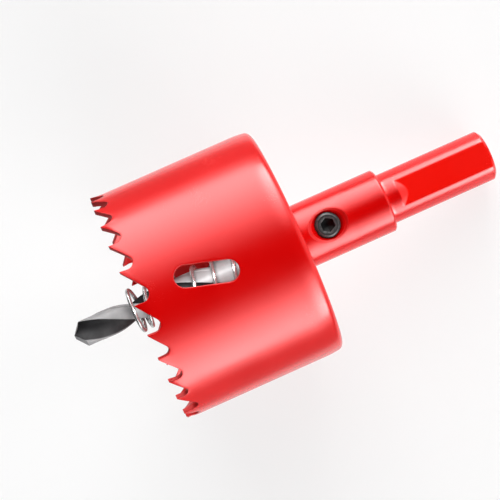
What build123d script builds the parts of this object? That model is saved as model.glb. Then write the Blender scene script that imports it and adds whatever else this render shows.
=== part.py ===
from build123d import *
from math import asin, atan2, ceil, cos, degrees, hypot, radians, sin, tan
import os

# A hole saw on its arbor. A toothed steel cup is staked onto a shouldered arbor whose shank has three
# flats for a drill chuck. A twist pilot drill stands in the arbor's bore, held by a set screw on a small
# flat, and a coil spring that narrows towards the cap pushes the sawn plug off it and out of the cup.
#
# Every piece is built about the tool's own axis. Z runs along that axis towards the shank, Z = 0 is the
# outer face of the cup's cap, and +X points to the side with the set screw and the chip slot.
# At the end the whole tool is laid down as it rests on a bench: on the rim of its cap and the end of
# its shank, with the set screw uppermost.
# All lengths are millimetres and all angles are degrees.

# ---- Cup ----
CUP_OD = 55.0
CUP_WALL = 1.2
CUP_HEIGHT = 39.3  # outer face of the cap to the tooth tips
CAP_THICKNESS = 3.0
CUP_OUTER_CORNER_R = 1.5
CUP_INNER_CORNER_R = 1.0

# ---- Teeth: an uneven spacing, repeated round the rim, keeps the saw from chattering ----
TOOTH_COUNT = 26
TOOTH_SPACING = (14.0, 13.0, 13.6, 14.5, 16.7, 14.8, 12.2, 14.3, 12.1, 15.3, 12.6, 14.1, 12.8)
FIRST_TIP_ANGLE = -74.0
TOOTH_BACK_ANGLE = 37.0  # slope of a tooth's back from the plane of the tips
TOOTH_HOOK_ANGLE = 3.0  # undercut of a tooth's cutting face
TOOTH_TIP_LAND = 0.2
GULLET_R_PER_GAP = 0.23  # radius of a gullet, as a share of its gap
TOOTH_SET = 0.3  # sideways bend of a set tooth at its tip
SET_SHARE = 0.8  # part of the shallowest gullet's depth that is bent
SET_CYCLE = (0, 1, -1)  # straight, outwards, inwards

# ---- Chip slot through the cup's wall ----
SLOT_LENGTH = 14.3
SLOT_WIDTH = 5.0
SLOT_SLANT = 16.8
SLOT_FROM_TIPS = 17.0
SLOT_ANGLE = -2.3

# ---- Arbor ----
BODY_D = 15.2
BODY_LENGTH = 22.6
BODY_CHAMFER = 0.45
SHANK_D = 12.0
SHANK_LENGTH = 26.2
SHANK_CHAMFER_LENGTH = 0.7
SHANK_CHAMFER_DEPTH = 0.9
SHANK_CHAMFER_CROWN = 0.05  # bulge of that chamfer beyond a straight one
NOSE_D = 11.5  # passes through the cap
COLLAR_D = 14.0  # spread over the inside of the cap when the nose is staked
COLLAR_THICKNESS = 0.8
STAKE_CLEARANCE = 0.02  # radial, nose in cap

# ---- Flats on the shank ----
FLAT_COUNT = 3
FLAT_FROM_AXIS = 5.14
FLAT_START = 3.2  # round neck between the shoulder and the flats
FLAT_RUNOUT = 2.1
FLAT_RUNOUT_HOLLOW = 0.1  # hollow that the cutter's rounded corner leaves in the run-out

# ---- Pilot drill ----
DRILL_D = 6.35
DRILL_PROUD = 16.25  # drill point ahead of the tooth tips
DRILL_DEPTH_IN_BODY = 13.5  # plain end of the drill behind the cap's outer face
DRILL_POINT_ANGLE = 118.0
DRILL_BORE_CLEARANCE = 0.03  # radial
DRILL_BORE_SPARE = 0.5  # bore beyond the drill's plain end
FLUTE_COUNT = 2
FLUTE_LENGTH = 36.0
FLUTE_RUNOUT = 5.0
FLUTE_LEAD = 41.1
FLUTE_SPREAD = 105.0  # from the heel of one land to the lip of the next
FLUTE_ANGLE_AT_POINT = -93.3  # heel side of the first flute, in the plane of the drill's point
WEB_THICKNESS = 1.3

# ---- Set screw, with its countersunk hole and the flat that it bears on ----
SCREW_D = 6.0
SCREW_LENGTH = 4.0
SCREW_FROM_CAP = 7.7
SCREW_THREAD_CLEARANCE = 0.05  # radial
SCREW_TOP_CHAMFER = 0.5
SCREW_POINT_CHAMFER = 0.8
SOCKET_ACROSS_FLATS = 3.0
SOCKET_DEPTH = 2.0
COUNTERSINK_D = 9.3
DRILL_FLAT_DEPTH = 0.375
DRILL_FLAT_LENGTH = 7.0

# ---- Ejector spring: flat front coil that leans forward, coils that narrow, closed rear coil ----
WIRE_D = 1.0
SPRING_PROUD = 0.76  # flat front coil ahead of the tooth tips, to the middle of the wire
SPRING_FRONT_R = 5.0  # to the middle of the wire
SPRING_START_ANGLE = 158.0
SPRING_LEAN = 0.5  # how far the front coil leans forward on the screw's side
SPRING_LEAN_TURNS = 3.5  # over which the lean dies away
SPRING_TURNS = 8.7
FRONT_FLAT_TURNS = 0.6
NARROWING_TURNS = 2.85
SPRING_PITCHES = ((0.9, 0.95), (1.5, 0.95), (2.0, 1.2), (3.2, 1.2), (3.6, 1.0))  # turn, share of pitch
REAR_CLOSING_TURNS = 0.4
REAR_CLOSED_TURNS = 1.0
SPRING_DRILL_CLEARANCE = 0.22  # between the wire of the rear coils and the drill
POINTS_PER_TURN = 12

# ---- Worked out from the sizes above ----
CUP_R = CUP_OD / 2
BODY_R = BODY_D / 2
SHANK_R = SHANK_D / 2
DRILL_R = DRILL_D / 2
SCREW_HOLE_R = SCREW_D / 2
TIP_Z = -CUP_HEIGHT
POINT_Z = TIP_Z - DRILL_PROUD
SHANK_END_Z = BODY_LENGTH + SHANK_LENGTH
COLLAR_FACE_Z = -CAP_THICKNESS - COLLAR_THICKNESS
BORE_R = DRILL_R + DRILL_BORE_CLEARANCE
SCREW_SEAT = DRILL_R - DRILL_FLAT_DEPTH  # height of the drill's flat above the axis
CUTTER_OVERRUN = 1.0  # how far a cutting shape passes the surface that it breaks through


def wall_plane(angle, z, outside):
    """Plane that faces the axis from beyond the wall: local X along the tool, local Y round it."""
    c, s = cos(radians(angle)), sin(radians(angle))
    return Plane(origin=(outside * c, outside * s, z), x_dir=(0, 0, 1), z_dir=(-c, -s, 0))


def tip_angles():
    """Angle of each tooth's tip, and of the first one again after a full turn."""
    steps = [TOOTH_SPACING[i % len(TOOTH_SPACING)] for i in range(TOOTH_COUNT)]
    angles = [FIRST_TIP_ANGLE]
    for step in steps:
        angles.append(angles[-1] + step * 360 / sum(steps))
    return angles


def gullet_sizes(gap):
    """Width between two tips along the rim, gullet radius, and its depth below the tips."""
    width = 2 * CUP_R * sin(radians(gap) / 2)
    radius = GULLET_R_PER_GAP * width
    slope, hook = tan(radians(TOOTH_BACK_ANGLE)), tan(radians(TOOTH_HOOK_ANGLE))
    root_width = (width - TOOTH_TIP_LAND * slope * hook) / (1 - slope * hook)
    root_depth = (root_width - TOOTH_TIP_LAND) * slope
    opening = radians(90 - TOOTH_BACK_ANGLE - TOOTH_HOOK_ANGLE)
    centre_from_root = radius / sin(opening / 2)
    axis_lean = opening / 2 + radians(TOOTH_HOOK_ANGLE)
    depth = root_depth - centre_from_root * cos(axis_lean) + radius
    return width, radius, root_width, root_depth, depth


def gullet_cutter(start, end):
    """Prism that cuts one gullet: a tooth's sloping back, a round bottom and the next tooth's face."""
    width, radius, root_width, root_depth, _ = gullet_sizes(end - start)
    half = width / 2
    outline = Polygon(
        (-CUTTER_OVERRUN, TOOTH_TIP_LAND - half),
        (0, TOOTH_TIP_LAND - half),
        (root_depth, root_width - half),
        (0, half),
        (-CUTTER_OVERRUN, half),
        align=None,
    )
    outline = fillet(outline.vertices().sort_by(Axis.X)[-1], radius)
    clear = TOOTH_SET + CUTTER_OVERRUN
    plane = wall_plane((start + end) / 2, TIP_Z, CUP_R + clear)
    return extrude(plane * outline, CUP_WALL + 2 * clear)


def tooth_band(start, end, bend, depth):
    """Stretch of the rim's edge that one tooth is cut from, bent sideways by its set."""
    base_z = TIP_Z + depth
    inner, shift = CUP_R - CUP_WALL, bend * TOOTH_SET
    section = Polygon(
        (inner, base_z), (CUP_R, base_z), (CUP_R + shift, TIP_Z), (inner + shift, TIP_Z), align=None
    )
    return revolve(Rot(0, 0, start) * (Plane.XZ * section), Axis.Z, end - start)


def saw_cup():
    """Drawn cup: cap and wall in one piece, toothed rim with alternating set, slanted chip slot."""
    tips = tip_angles()
    gaps = [b - a for a, b in zip(tips, tips[1:])]
    set_depth = SET_SHARE * min(gullet_sizes(gap)[4] for gap in gaps)
    hole_r = NOSE_D / 2 + STAKE_CLEARANCE
    edge_z = TIP_Z + set_depth
    section = Polygon(
        (hole_r, 0), (CUP_R, 0), (CUP_R, edge_z), (CUP_R - CUP_WALL, edge_z),
        (CUP_R - CUP_WALL, -CAP_THICKNESS), (hole_r, -CAP_THICKNESS), align=None,
    )
    outer_corner = section.vertices().sort_by_distance((CUP_R, 0))[0]
    section = fillet(outer_corner, CUP_OUTER_CORNER_R)
    inner_corner = section.vertices().sort_by_distance((CUP_R - CUP_WALL, -CAP_THICKNESS))[0]
    section = fillet(inner_corner, CUP_INNER_CORNER_R)
    cup = revolve(Plane.XZ * section, Axis.Z)

    # Each tooth's band runs from the bottom of one gullet to the bottom of the next.
    bottoms = [b - degrees(gullet_sizes(b - a)[1] / CUP_R) for a, b in zip(tips, tips[1:])]
    starts = [bottoms[-1] - 360] + bottoms[:-1]
    bands = [
        tooth_band(start, end, SET_CYCLE[i % len(SET_CYCLE)], set_depth)
        for i, (start, end) in enumerate(zip(starts, bottoms))
    ]
    cup = cup + bands
    cup = cup - [gullet_cutter(a, b) for a, b in zip(tips, tips[1:])]

    slot = SlotOverall(SLOT_LENGTH, SLOT_WIDTH, rotation=SLOT_SLANT)
    slot_plane = wall_plane(SLOT_ANGLE, TIP_Z + SLOT_FROM_TIPS, CUP_R + CUTTER_OVERRUN)
    return cup - extrude(slot_plane * slot, CUP_WALL + 2 * CUTTER_OVERRUN)


def shank_flat_cutter():
    """Block beyond one flat, less a hollow cone about the axis that leaves the flat's run-out."""
    start = BODY_LENGTH + FLAT_START
    length = SHANK_END_Z - start + CUTTER_OVERRUN
    depth = SHANK_R - FLAT_FROM_AXIS + CUTTER_OVERRUN
    low = (Align.MIN, Align.CENTER, Align.MIN)
    block = Pos(FLAT_FROM_AXIS, 0, start) * Box(depth, SHANK_D, length, align=low)
    cone_base = (SHANK_R, start)
    cone_tip = (0, start + SHANK_R * FLAT_RUNOUT / (SHANK_R - FLAT_FROM_AXIS))
    side = SagittaArc(cone_base, cone_tip, FLAT_RUNOUT_HOLLOW)
    cone = make_face([side, Polyline(cone_tip, (0, start), cone_base)])
    return block - revolve(Plane.XZ * cone, Axis.Z)


def arbor():
    """Turned arbor: staked collar and nose, body with the drill's bore, shank with three flats."""
    nose_r, collar_r = NOSE_D / 2, COLLAR_D / 2
    chamfer_start = (SHANK_R, SHANK_END_Z - SHANK_CHAMFER_LENGTH)
    chamfer_end = (SHANK_R - SHANK_CHAMFER_DEPTH, SHANK_END_Z)
    outline = Polyline(
        chamfer_end, (0, SHANK_END_Z), (0, COLLAR_FACE_Z), (collar_r, COLLAR_FACE_Z),
        (collar_r, -CAP_THICKNESS), (nose_r, -CAP_THICKNESS), (nose_r, 0), (BODY_R, 0),
        (BODY_R, BODY_LENGTH - BODY_CHAMFER), (BODY_R - BODY_CHAMFER, BODY_LENGTH),
        (SHANK_R, BODY_LENGTH), chamfer_start,
    )
    crown = SagittaArc(chamfer_end, chamfer_start, SHANK_CHAMFER_CROWN)
    turned = revolve(Plane.XZ * make_face([outline, crown]), Axis.Z)
    for angle in range(0, 360, 360 // FLAT_COUNT):
        turned = turned - Rot(0, 0, angle) * shank_flat_cutter()

    bore_end = DRILL_DEPTH_IN_BODY + DRILL_BORE_SPARE
    cone_height = BORE_R / tan(radians(DRILL_POINT_ANGLE / 2))
    bore = Polygon(
        (0, COLLAR_FACE_Z - CUTTER_OVERRUN), (BORE_R, COLLAR_FACE_Z - CUTTER_OVERRUN),
        (BORE_R, bore_end), (0, bore_end + cone_height), align=None,
    )
    turned = turned - revolve(Plane.XZ * bore, Axis.Z)

    # Tapped hole from the side, opened by a right-angled countersink.
    sideways = Pos(0, 0, SCREW_FROM_CAP) * Rot(0, 90, 0)
    seat = (Align.CENTER, Align.CENTER, Align.MIN)
    hole = Cylinder(SCREW_HOLE_R, BODY_R + CUTTER_OVERRUN, align=seat)
    sink_depth = COUNTERSINK_D / 2 - SCREW_HOLE_R
    sink = Pos(0, 0, BODY_R - sink_depth) * Cone(
        SCREW_HOLE_R, SCREW_HOLE_R + sink_depth + CUTTER_OVERRUN, sink_depth + CUTTER_OVERRUN, align=seat
    )
    return turned - sideways * (hole + sink)


def flute_cutter():
    """Twisted prism that mills one flute: straight lip side, rounded heel side, rising at its end."""
    web = WEB_THICKNESS / 2
    lip_angle = degrees(asin(web / DRILL_R))
    heel_angle = -lip_angle - FLUTE_SPREAD
    heel_x, heel_y = DRILL_R * cos(radians(heel_angle)), DRILL_R * sin(radians(heel_angle))
    reach = DRILL_R + CUTTER_OVERRUN
    root = (0, -web)
    lip_line = Line((reach, -web), root)
    heel_arc = TangentArc(root, (heel_x, heel_y), tangent=(-1, 0))
    heel_line = Line((heel_x, heel_y), (heel_x + (heel_arc % 1).X, heel_y + (heel_arc % 1).Y))
    outside = Polyline(heel_line @ 1, (heel_x, -reach * 1.4), (reach, -reach * 1.4), lip_line @ 0)
    profile = make_face([lip_line, heel_arc, heel_line, outside])

    length = FLUTE_LENGTH + CUTTER_OVERRUN
    twist = 360 * length / FLUTE_LEAD
    first = FLUTE_ANGLE_AT_POINT - 360 * CUTTER_OVERRUN / FLUTE_LEAD - heel_angle
    profile = Rot(0, 0, first) * profile
    blade = Solid.extrude_linear_with_rotation(profile.face(), (0, 0, 0), (0, 0, length), twist)
    start = Pos(0, 0, POINT_Z - CUTTER_OVERRUN)

    # A cone about the axis lifts the flute's floor to the drill's surface over the run-out.
    rise = DRILL_R - web
    cone_height = FLUTE_RUNOUT * (DRILL_R + CUTTER_OVERRUN) / rise
    seat = (Align.CENTER, Align.CENTER, Align.MAX)
    floor = Cone(0, DRILL_R + CUTTER_OVERRUN, cone_height, align=seat)
    overshoot = CUTTER_OVERRUN * FLUTE_RUNOUT / rise
    return start * blade - Pos(0, 0, POINT_Z + FLUTE_LENGTH + overshoot) * floor


def pilot_drill():
    """Two-fluted twist drill with a plain end and a small flat for the set screw."""
    point_height = DRILL_R / tan(radians(DRILL_POINT_ANGLE / 2))
    section = Polygon(
        (0, POINT_Z), (DRILL_R, POINT_Z + point_height),
        (DRILL_R, DRILL_DEPTH_IN_BODY), (0, DRILL_DEPTH_IN_BODY), align=None,
    )
    drill = revolve(Plane.XZ * section, Axis.Z)
    cutter = flute_cutter()
    for i in range(FLUTE_COUNT):
        drill = drill - Rot(0, 0, 360 * i / FLUTE_COUNT) * cutter
    seat = (Align.MIN, Align.CENTER, Align.CENTER)
    flat = Box(DRILL_R, DRILL_D, DRILL_FLAT_LENGTH, align=seat)
    return drill - Pos(SCREW_SEAT, 0, SCREW_FROM_CAP) * flat


def set_screw():
    """Socket set screw, standing on the drill's flat; its thread is left smooth."""
    radius = SCREW_HOLE_R - SCREW_THREAD_CLEARANCE
    section = Polygon(
        (0, 0), (radius - SCREW_POINT_CHAMFER, 0), (radius, SCREW_POINT_CHAMFER),
        (radius, SCREW_LENGTH - SCREW_TOP_CHAMFER), (radius - SCREW_TOP_CHAMFER, SCREW_LENGTH),
        (0, SCREW_LENGTH), align=None,
    )
    screw = revolve(Plane.XZ * section, Axis.Z)
    socket = RegularPolygon(SOCKET_ACROSS_FLATS / 2, 6, major_radius=False, rotation=90)
    socket_floor = SCREW_LENGTH - SOCKET_DEPTH
    screw = screw - extrude(Pos(0, 0, socket_floor) * socket, SOCKET_DEPTH + CUTTER_OVERRUN)
    return Pos(SCREW_SEAT, 0, SCREW_FROM_CAP) * Rot(0, 90, 0) * screw


def ramp(turn, stations):
    """Value at a turn, between stations of (turn, value), changing evenly from each to the next."""
    for (t0, v0), (t1, v1) in zip(stations, stations[1:]):
        if turn <= t1:
            return v0 + (v1 - v0) * (turn - t0) / (t1 - t0)
    return stations[-1][1]


def area(stations):
    """Sum of a value over the turns, between stations of (turn, value)."""
    return sum((t1 - t0) * (v0 + v1) / 2 for (t0, v0), (t1, v1) in zip(stations, stations[1:]))


def spring_path():
    """Left-hand coil from its front end, ahead of the teeth, to its seat on the arbor's collar."""
    front_z = TIP_Z - SPRING_PROUD
    rear_z = COLLAR_FACE_Z - WIRE_D / 2
    closed_turn = SPRING_TURNS - REAR_CLOSED_TURNS
    close_turn = closed_turn - REAR_CLOSING_TURNS
    shares = [(0, 0), (FRONT_FLAT_TURNS, 0), *SPRING_PITCHES, (close_turn, 1), (closed_turn, 0), (SPRING_TURNS, 0)]
    wires = [(0, 0), (close_turn, 0), (closed_turn, 1), (SPRING_TURNS, 1)]
    pitch = (rear_z - front_z - WIRE_D * area(wires)) / area(shares)
    rear_r = DRILL_R + SPRING_DRILL_CLEARANCE + WIRE_D / 2
    radii = [
        (0, SPRING_FRONT_R), (FRONT_FLAT_TURNS, SPRING_FRONT_R),
        (FRONT_FLAT_TURNS + NARROWING_TURNS, rear_r), (SPRING_TURNS, rear_r),
    ]
    lean = [(0, SPRING_LEAN), (SPRING_LEAN_TURNS, 0), (SPRING_TURNS, 0)]
    count = ceil(SPRING_TURNS * POINTS_PER_TURN)
    points, z, step = [], front_z, SPRING_TURNS / count
    for i in range(count + 1):
        turn = i * step
        angle = radians(SPRING_START_ANGLE - 360 * turn)
        radius = ramp(turn, radii)
        points.append((radius * cos(angle), radius * sin(angle), z - ramp(turn, lean) * cos(angle)))
        middle = turn + step / 2
        z += step * (pitch * ramp(middle, shares) + WIRE_D * ramp(middle, wires))
    return Spline(points)


def ejector_spring():
    """Round wire swept along the coil."""
    path = spring_path()
    section = Plane(origin=path @ 0, z_dir=path % 0) * Circle(WIRE_D / 2)
    return Solid.sweep(section.face(), path, is_frenet=True)


def resting_place():
    """Location that lays the tool down on its cap's rim and its shank's end, centred on the origin."""
    contact_z = SHANK_END_Z - SHANK_CHAMFER_LENGTH
    corner_r = CUP_R - CUP_OUTER_CORNER_R
    run, drop = contact_z + CUP_OUTER_CORNER_R, corner_r - SHANK_R
    tilt = atan2(drop, run) + asin(CUP_OUTER_CORNER_R / hypot(run, drop))
    height = contact_z * sin(tilt) + SHANK_R * cos(tilt)
    low_x = POINT_Z * cos(tilt)
    high_x = SHANK_END_Z * cos(tilt) + (SHANK_R - SHANK_CHAMFER_DEPTH) * sin(tilt)
    return Plane(
        origin=(-(low_x + high_x) / 2, 0, height),
        x_dir=(sin(tilt), 0, cos(tilt)),
        z_dir=(cos(tilt), 0, -sin(tilt)),
    ).location


PIECES = {
    "saw_cup": saw_cup,
    "arbor": arbor,
    "pilot_drill": pilot_drill,
    "ejector_spring": ejector_spring,
    "set_screw": set_screw,
}

os.makedirs("parts", exist_ok=True)
place = resting_place()
for name, make in PIECES.items():
    export_step(place * make(), f"parts/{name}.step")
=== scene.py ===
# %% [markdown]
# # A hole saw on its arbor
#
# A hole saw cuts a round hole by sawing only its edge. A thin steel cup with teeth on its rim turns about
# a twist drill that keeps it centred, and a coil spring pushes the sawn plug out again. This lesson gives
# the tool its finish: it loads the plain solids as a fixed frame, builds a finer piece over each of them
# in mesh code and Geometry Nodes, paints them with procedural materials, and lights them as in a studio.
#
# The frame comes first, because every finer piece has to sit exactly where its solid sits.

# %% Load the solids as a fixed frame
import math

import bmesh
import bpy
import numpy as np
from mathutils import Matrix, Vector


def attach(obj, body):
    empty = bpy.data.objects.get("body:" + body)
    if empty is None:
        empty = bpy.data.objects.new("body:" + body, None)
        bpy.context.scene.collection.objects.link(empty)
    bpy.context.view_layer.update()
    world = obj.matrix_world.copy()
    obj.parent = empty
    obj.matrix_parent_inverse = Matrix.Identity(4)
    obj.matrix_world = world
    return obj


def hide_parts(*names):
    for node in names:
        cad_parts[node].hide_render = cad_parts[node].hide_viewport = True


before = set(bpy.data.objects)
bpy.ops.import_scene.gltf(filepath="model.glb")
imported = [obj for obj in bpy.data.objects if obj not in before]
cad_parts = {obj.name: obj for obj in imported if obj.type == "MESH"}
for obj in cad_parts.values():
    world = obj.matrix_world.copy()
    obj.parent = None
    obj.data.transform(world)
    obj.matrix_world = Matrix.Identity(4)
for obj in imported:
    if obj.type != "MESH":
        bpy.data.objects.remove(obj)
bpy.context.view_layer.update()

print("solids:", ", ".join(sorted(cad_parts)))

# %% [markdown]
# ## The tool's own axis
#
# A turned tool is easiest to describe along its own axis, but it lies tilted on the bench, on the rim of
# its cap and the end of its shank. One could model it in place with tilted coordinates, or turn the
# finished objects. A finished piece should stay unturned, so each point is worked out in millimetres
# along the tool's axis and then laid down by one small function.

# %% Lay points of the tool down on the bench
TILT = math.radians(23.56779)
ORIGIN = np.array([2.07391, 0.0, 24.73153])  # outer face of the cap, on the axis, in mm
TO_SHANK = np.array([math.cos(TILT), 0.0, -math.sin(TILT)])
TO_SCREW = np.array([math.sin(TILT), 0.0, math.cos(TILT)])
MM = 0.001


def lay_down(points):
    """Tool points (x to the screw, z to the shank, in mm) as metres on the bench."""
    p = np.asarray(points, float)
    across = np.array([0.0, -1.0, 0.0])
    placed = ORIGIN + p[..., 0:1] * TO_SCREW + p[..., 1:2] * across + p[..., 2:3] * TO_SHANK
    return placed * MM


def polar(radius, angle, z):
    """Tool points from radius, angle in radians and height along the axis."""
    radius, angle, z = np.broadcast_arrays(radius, angle, z)
    return np.stack([radius * np.cos(angle), radius * np.sin(angle), z], axis=-1)


print("tool axis leans", round(math.degrees(TILT), 2), "degrees from the bench")

# %% [markdown]
# ## From rows of points to a closed skin
#
# Nearly every piece here is turned, twisted or bent round the axis, so its surface is a stack of closed
# rows of points with the same count. Joining neighbouring rows gives clean four-sided faces. Booleans
# would be quicker to write but leave slivers that spoil the shading of gloss paint. `Skin` collects such
# rows, and `make_piece` turns the result into one mesh with its faces outwards.

# %% Collect rows of points and join them
class Skin:
    """Points, faces and per-point values of one piece, still in the tool's millimetres."""

    def __init__(self):
        self.points, self.faces, self.values = [], [], {}

    def add(self, points, **values):
        start = len(self.points)
        points = np.asarray(points, float).reshape(-1, 3)
        for name in {**self.values, **values}:
            kept = self.values.setdefault(name, [0.0] * start)
            kept.extend(np.broadcast_to(values.get(name, 0.0), len(points)).tolist())
        self.points.extend(points.tolist())
        return np.arange(start, start + len(points))

    def join(self, a, b, skip=()):
        """Faces between two closed rows of the same length, except at the columns to skip."""
        for i in range(len(a)):
            if i not in skip:
                j = (i + 1) % len(a)
                self.faces.append((int(a[i]), int(a[j]), int(b[j]), int(b[i])))

    def stack(self, rows):
        for a, b in zip(rows, rows[1:]):
            self.join(a, b)

    def fan(self, row, centre):
        """Closes a row with triangles to one point."""
        c = int(self.add([centre])[0])
        for i in range(len(row)):
            self.faces.append((int(row[i]), int(row[(i + 1) % len(row)]), c))


# %% Turn a skin into a mesh piece
SLIVER = 0.0005  # edges shorter than this are dissolved, in mm


def make_piece(name, skin, material, merge=0.004, sharp=38.0):
    """One mesh object on the bench: doubles merged, normals outwards, smooth but for sharp edges."""
    bm = bmesh.new()
    layers = {key: bm.verts.layers.float.new(key) for key in skin.values}
    verts = [bm.verts.new(p) for p in lay_down(skin.points)]
    for key, layer in layers.items():
        for vert, value in zip(verts, skin.values[key]):
            vert[layer] = value
    for face in skin.faces:
        if len(set(face)) == len(face):
            bm.faces.new([verts[i] for i in face])
    bmesh.ops.remove_doubles(bm, verts=bm.verts, dist=merge * MM)
    bmesh.ops.dissolve_degenerate(bm, edges=bm.edges, dist=SLIVER * MM)
    bmesh.ops.recalc_face_normals(bm, faces=bm.faces)
    loose = sum(1 for edge in bm.edges if len(edge.link_faces) != 2)
    for face in bm.faces:
        face.smooth = True
    mesh = bpy.data.meshes.new(name)
    bm.to_mesh(mesh)
    bm.free()
    mesh.set_sharp_from_angle(angle=math.radians(sharp))
    mesh.materials.append(material)
    piece = bpy.data.objects.new(name, mesh)
    bpy.context.scene.collection.objects.link(piece)
    mesh.calc_loop_triangles()
    print(name, "triangles:", len(mesh.loop_triangles), "open edges:", loose)
    return piece


def stand_for(piece, node):
    """The piece rides with the tool and hides the plain solid."""
    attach(piece, "root")
    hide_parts(node)


# %% [markdown]
# ## Helpers for node trees
#
# Materials and Geometry Nodes are both trees of small nodes. Placing each by hand takes many lines, so
# `put` adds a node with its settings and `feed` sets its inputs, or links those given as a socket.

# %% Small helpers for node trees
def socket(sockets, key):
    """The enabled socket of that name, or the one at that place."""
    if isinstance(key, int):
        return sockets[key]
    return next(s for s in sockets if s.enabled and s.name == key)


def feed(tree, node, inputs):
    """Links the inputs that are given as sockets and sets the others."""
    for key, value in inputs.items():
        target = socket(node.inputs, key)
        if isinstance(value, bpy.types.NodeSocket):
            tree.links.new(value, target)
        else:
            target.default_value = value


def put(tree, kind, inputs=None, **settings):
    """A new node with its settings and its inputs."""
    node = tree.nodes.new(kind)
    for name, value in settings.items():
        setattr(node, name, value)
    feed(tree, node, inputs or {})
    return node


def maths(tree, operation, *values):
    """One sum of up to three numbers or sockets."""
    return put(tree, "ShaderNodeMath", dict(enumerate(values)), operation=operation).outputs[0]


def blend_values(tree, share, a, b):
    """a where share is 0 and b where it is 1."""
    return put(tree, "ShaderNodeMix", {0: share, 2: a, 3: b}, data_type="FLOAT").outputs[0]


def blend_colours(tree, share, a, b):
    """The same for colours, which are sockets or three numbers."""
    a, b = ((*colour, 1.0) if isinstance(colour, tuple) else colour for colour in (a, b))
    return put(tree, "ShaderNodeMix", {0: share, 6: a, 7: b}, data_type="RGBA").outputs[2]


def new_material(name):
    """A material with an empty tree, its shader and the object's own coordinates."""
    material = bpy.data.materials.new(name)
    material.use_nodes = True
    tree = material.node_tree
    shader = next(n for n in tree.nodes if n.type == "BSDF_PRINCIPLED")
    place = put(tree, "ShaderNodeTexCoord").outputs["Object"]
    return material, tree, shader, place


def noise(tree, place, scale, detail=2.0):
    """Noise from 0 to 1; scale is in waves a metre."""
    return put(tree, "ShaderNodeTexNoise", {"Vector": place, "Scale": scale, "Detail": detail}).outputs[0]


def remap(tree, value, low, high, to_low=0.0, to_high=1.0, **settings):
    """Stretches low..high to to_low..to_high, held at its ends."""
    inputs = {0: value, 1: low, 2: high, 3: to_low, 4: to_high}
    return put(tree, "ShaderNodeMapRange", inputs, **settings).outputs[0]


def mottled(tree, pattern, a, b):
    """Two colours that take turns with the middle of a noise pattern."""
    return blend_colours(tree, remap(tree, pattern, 0.3, 0.7), a, b)


def bump(tree, shader, height, strength, distance):
    """Height in its own units times distance, in metres, tilts the shading normal."""
    node = put(tree, "ShaderNodeBump", {"Height": height, "Strength": strength, "Distance": distance})
    tree.links.new(node.outputs[0], shader.inputs["Normal"])


def own_value(tree, name):
    """A value that the mesh carries at its points."""
    return put(tree, "ShaderNodeAttribute", attribute_name=name).outputs["Fac"]


def tool_coordinates(tree, place):
    """Object coordinates turned so that z runs along the tool's axis."""
    for move in ({"Location": tuple(-ORIGIN * MM)}, {"Rotation": (0.0, TILT - math.pi / 2, 0.0)}):
        place = put(tree, "ShaderNodeMapping", {"Vector": place, **move}).outputs[0]
    return place


# %% [markdown]
# ## Red enamel
#
# The cup and arbor are sprayed or dipped together. Such paint is a pigmented layer under a smooth gloss:
# saturated where it reflects nothing, pale pink where it mirrors a light. A plain glossy red would look
# like plastic, so the gloss gets the faint waviness called orange peel and slow changes of tone. Wet paint
# draws back from sharp edges, which leaves them duller, and their darker red is painted shade, for the
# dark lines such edges show. The milled flats get a lighter red as painted light, for the light they
# catch unlike the round bar. The mesh marks the edges with its own `edge` value and the flats with
# another. A small metallic share tints the gloss with the red of the paint.

# %% Red enamel
def red_enamel():
    material, tree, shader, place = new_material("sprayed_enamel")
    patches, peel, dust = (noise(tree, place, *waves) for waves in ((70.0, 3.0), (900.0, 2.0), (5200.0, 1.0)))
    edge = own_value(tree, "edge")
    colour = mottled(tree, patches, (0.48, 0.0, 0.0), (0.53, 0.0, 0.0))
    # painted light: the milled flats get a lighter red, for the light they catch unlike the round bar
    colour = blend_colours(tree, own_value(tree, "thick"), colour, (0.70, 0.004, 0.001))
    # painted shade: sharp edges get a darker red, for the dark lines they show in shade
    colour = blend_colours(tree, maths(tree, "MULTIPLY", edge, 0.35), colour, (0.26, 0.0, 0.0))
    uneven = maths(tree, "ADD", remap(tree, patches, 0.25, 0.75, 0.20, 0.26),
                   remap(tree, dust, 0.35, 0.75, 0.0, 0.03))
    feed(tree, shader, {"Base Color": colour, "Roughness": blend_values(tree, edge, uneven, 0.6),
                        "Metallic": 0.2, "IOR": 1.55})
    waviness = maths(tree, "ADD", peel, maths(tree, "MULTIPLY", dust, 0.12))
    bump(tree, shader, waviness, 0.22, 0.00004)
    return material


ENAMEL = red_enamel()
print("made", ENAMEL.name)

# %% [markdown]
# ## Ground and blackened drill steel
#
# A twist drill is milled, hardened, which leaves its flutes dark, and then ground paler on its lands and
# point. A mirror finish would show the studio as hard stripes. Hardened flutes carry a thin dark oxide,
# though, and fresh grinding is matt, so both finishes are rough and have only a small metallic share. The
# mesh marks flutes with a `flute` value. The wheel leaves fine rings round the drill, made from noise that
# is squeezed along the tool's own axis.

# %% Drill steel
def drill_steel():
    material, tree, shader, place = new_material("ground_drill_steel")
    squeezed = {"Vector": tool_coordinates(tree, place), "Scale": (60.0, 60.0, 9000.0)}
    rings = noise(tree, put(tree, "ShaderNodeMapping", squeezed).outputs[0], 1.0)
    cloud = noise(tree, place, 400.0, 4.0)
    milled = own_value(tree, "flute")
    bright = mottled(tree, cloud, (0.17, 0.173, 0.177), (0.22, 0.22, 0.22))
    dark = mottled(tree, cloud, (0.007, 0.007, 0.008), (0.014, 0.014, 0.015))
    roughness = maths(tree, "ADD", blend_values(tree, milled, 0.40, 0.50),
                      remap(tree, rings, 0.3, 0.7, 0.0, 0.12))
    feed(tree, shader, {"Base Color": blend_colours(tree, milled, bright, dark), "Roughness": roughness,
                        "Metallic": 0.12, "Specular IOR Level": 0.25})
    bump(tree, shader, rings, 0.25, 0.000004)
    return material


DRILL_STEEL = drill_steel()
print("made", DRILL_STEEL.name)
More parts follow.
